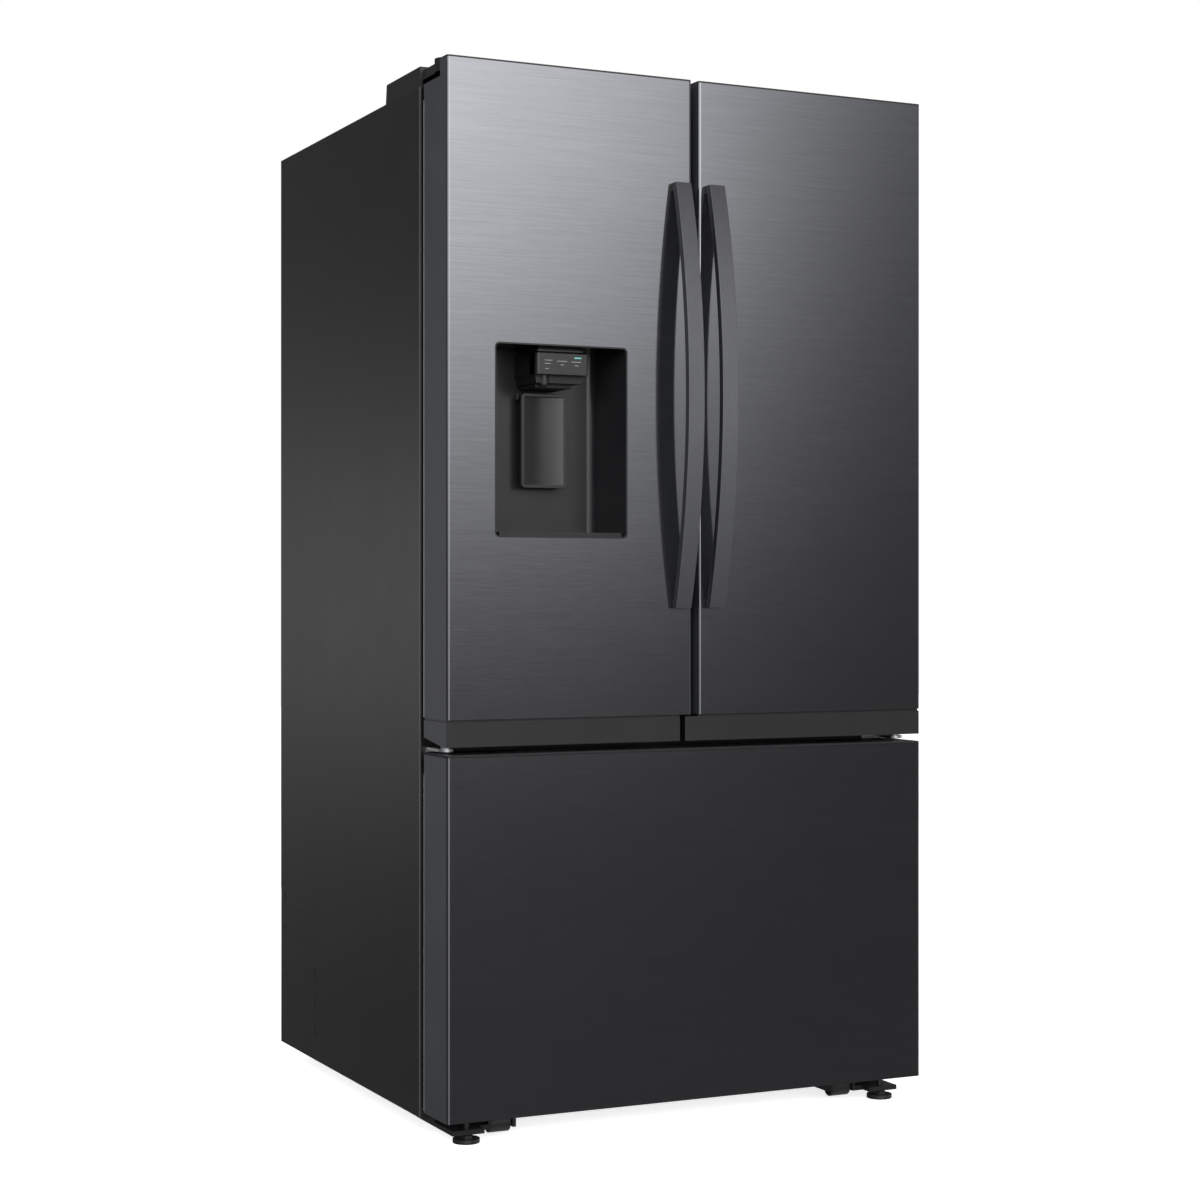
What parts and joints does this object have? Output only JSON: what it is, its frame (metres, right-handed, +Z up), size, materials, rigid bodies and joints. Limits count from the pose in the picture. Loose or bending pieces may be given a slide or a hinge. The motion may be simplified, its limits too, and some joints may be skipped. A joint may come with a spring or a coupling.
{
  "type": "french door refrigerator",
  "caption": "Free-standing refrigerator with two upper doors, bowed bar handles, a dispenser niche in the left door and a freezer drawer below.",
  "frame": {"origin": "on the floor, in the middle of the footprint with the handles included", "axes": "+Z up, the doors and the drawer face -Y, +X towards the right-hand door"},
  "size_m": [0.908, 0.9356, 1.782],
  "materials": {
    "case_paint": "satin",
    "door_steel": "satin",
    "handle_steel": "satin",
    "zinc_steel": "satin",
    "chassis_steel": "satin",
    "trim_plastic": "matte",
    "niche_plastic": "satin",
    "panel_plastic": "satin",
    "white_liner": "satin",
    "foam": "matte",
    "gasket_rubber": "matte",
    "clear_plastic": "gloss",
    "shelf_glass": "gloss",
    "fan_plastic": "matte",
    "coil_metal": "satin",
    "motor_black": "gloss",
    "back_steel": "satin",
    "lens_plastic": "satin",
    "foot_plastic": "matte"
  },
  "bodies": {
    "cabinet": {"cabinet_shell": "case_paint", "cabinet_foam": "foam", "fridge_liner": "white_liner", "freezer_liner": "white_liner", "mullion_rail": "zinc_steel", "back_panel": "back_steel", "machine_cover": "back_steel", "base_frame": "chassis_steel", "top_hinges": "zinc_steel", "hinge_cover_left": "trim_plastic", "hinge_cover_right": "trim_plastic", "mid_hinges": "zinc_steel", "compressor": "motor_black", "condenser": "coil_metal", "drain_pan": "trim_plastic", "evaporator": "coil_metal", "evaporator_cover": "white_liner", "shelf_left": "shelf_glass", "shelf_right": "shelf_glass", "crisper_shelf": "shelf_glass", "light_lens": "lens_plastic", "water_filter": "lens_plastic", "rails_fixed": "zinc_steel"},
    "left_door": {"left_door_skin": "door_steel", "left_door_inner": "white_liner", "left_door_caps": "trim_plastic", "left_gasket": "gasket_rubber", "left_handle": "handle_steel", "dispenser_housing": "niche_plastic", "dispenser_panel": "panel_plastic", "dispenser_nozzle": "niche_plastic", "drip_tray": "niche_plastic", "left_bin": "clear_plastic", "ice_maker": "white_liner"},
    "right_door": {"right_door_skin": "door_steel", "right_door_inner": "white_liner", "right_door_caps": "trim_plastic", "right_gasket": "gasket_rubber", "right_handle": "handle_steel", "right_bin_upper": "clear_plastic", "right_bin_lower": "clear_plastic"},
    "freezer_drawer": {"drawer_skin": "door_steel", "drawer_inner": "white_liner", "drawer_cap": "trim_plastic", "drawer_gasket": "gasket_rubber", "freezer_basket": "white_liner"},
    "foot_left": {"foot_left": "foot_plastic"},
    "foot_right": {"foot_right": "foot_plastic"},
    "front_rollers": {"front_rollers": "foot_plastic"},
    "rear_rollers": {"rear_rollers": "foot_plastic"},
    "condenser_fan": {"condenser_fan": "fan_plastic"},
    "evaporator_fan": {"evaporator_fan": "fan_plastic"},
    "crisper_left": {"crisper_left": "clear_plastic"},
    "crisper_right": {"crisper_right": "clear_plastic"},
    "pantry_drawer": {"pantry_drawer": "clear_plastic"},
    "freezer_tray": {"freezer_tray": "clear_plastic"},
    "slide_rails": {"rails_middle": "zinc_steel"},
    "flipper": {"flipper_mullion": "white_liner"},
    "paddle": {"dispenser_paddle": "niche_plastic"}
  },
  "joints": [
    {"name": "left_door_hinge", "type": "hinge", "parent": "cabinet", "child": "left_door", "pos_m": [-0.434, -0.35125, 1.2], "axis": [0, 0, -1], "range_deg": [0, 110]},
    {"name": "right_door_hinge", "type": "hinge", "parent": "cabinet", "child": "right_door", "pos_m": [0.434, -0.35125, 1.2], "axis": [0, 0, 1], "range_deg": [0, 110]},
    {"name": "flipper_fold", "type": "hinge", "parent": "left_door", "child": "flipper", "pos_m": [-0.045, -0.27675, 1.2], "axis": [0, 0, 1], "range_deg": [0, 90]},
    {"name": "paddle_push", "type": "hinge", "parent": "left_door", "child": "paddle", "pos_m": [-0.246, -0.31125, 1.235], "axis": [1, 0, 0], "range_deg": [0, 5], "stiffness_Nm_per_rad": 0.3, "springref_deg": -8.59},
    {"name": "drawer_slide", "type": "slide", "parent": "cabinet", "child": "freezer_drawer", "axis": [0, -1, 0], "range_m": [0, 0.43]},
    {"name": "rail_slide", "type": "slide", "parent": "cabinet", "child": "slide_rails", "axis": [0, -1, 0], "range_m": [0, 0.215]},
    {"name": "tray_slide", "type": "slide", "parent": "freezer_drawer", "child": "freezer_tray", "axis": [0, 1, 0], "range_m": [0, 0.2]},
    {"name": "crisper_left_slide", "type": "slide", "parent": "cabinet", "child": "crisper_left", "axis": [0, -1, 0], "range_m": [0, 0.115]},
    {"name": "crisper_right_slide", "type": "slide", "parent": "cabinet", "child": "crisper_right", "axis": [0, -1, 0], "range_m": [0, 0.115]},
    {"name": "pantry_slide", "type": "slide", "parent": "cabinet", "child": "pantry_drawer", "axis": [0, -1, 0], "range_m": [0, 0.115]},
    {"name": "foot_left_screw", "type": "hinge", "parent": "cabinet", "child": "foot_left", "pos_m": [-0.4, -0.35525, 0.02], "axis": [0, 0, 1], "continuous": true},
    {"name": "foot_right_screw", "type": "hinge", "parent": "cabinet", "child": "foot_right", "pos_m": [0.4, -0.35525, 0.02], "axis": [0, 0, 1], "continuous": true},
    {"name": "front_roller_spin", "type": "hinge", "parent": "cabinet", "child": "front_rollers", "pos_m": [0, -0.32325, 0.021], "axis": [1, 0, 0], "continuous": true},
    {"name": "rear_roller_spin", "type": "hinge", "parent": "cabinet", "child": "rear_rollers", "pos_m": [0, 0.39475, 0.02], "axis": [1, 0, 0], "continuous": true},
    {"name": "condenser_fan_spin", "type": "hinge", "parent": "cabinet", "child": "condenser_fan", "pos_m": [0.014, 0.34475, 0.151], "axis": [1, 0, 0], "continuous": true},
    {"name": "evaporator_fan_spin", "type": "hinge", "parent": "cabinet", "child": "evaporator_fan", "pos_m": [0, 0.23075, 0.52], "axis": [0, 1, 0], "continuous": true}
  ],
  "couplings": [
    {"joint": "flipper_fold", "follows": "left_door_hinge", "ratio": 0.818},
    {"joint": "rail_slide", "follows": "drawer_slide", "ratio": 0.5}
  ]
}
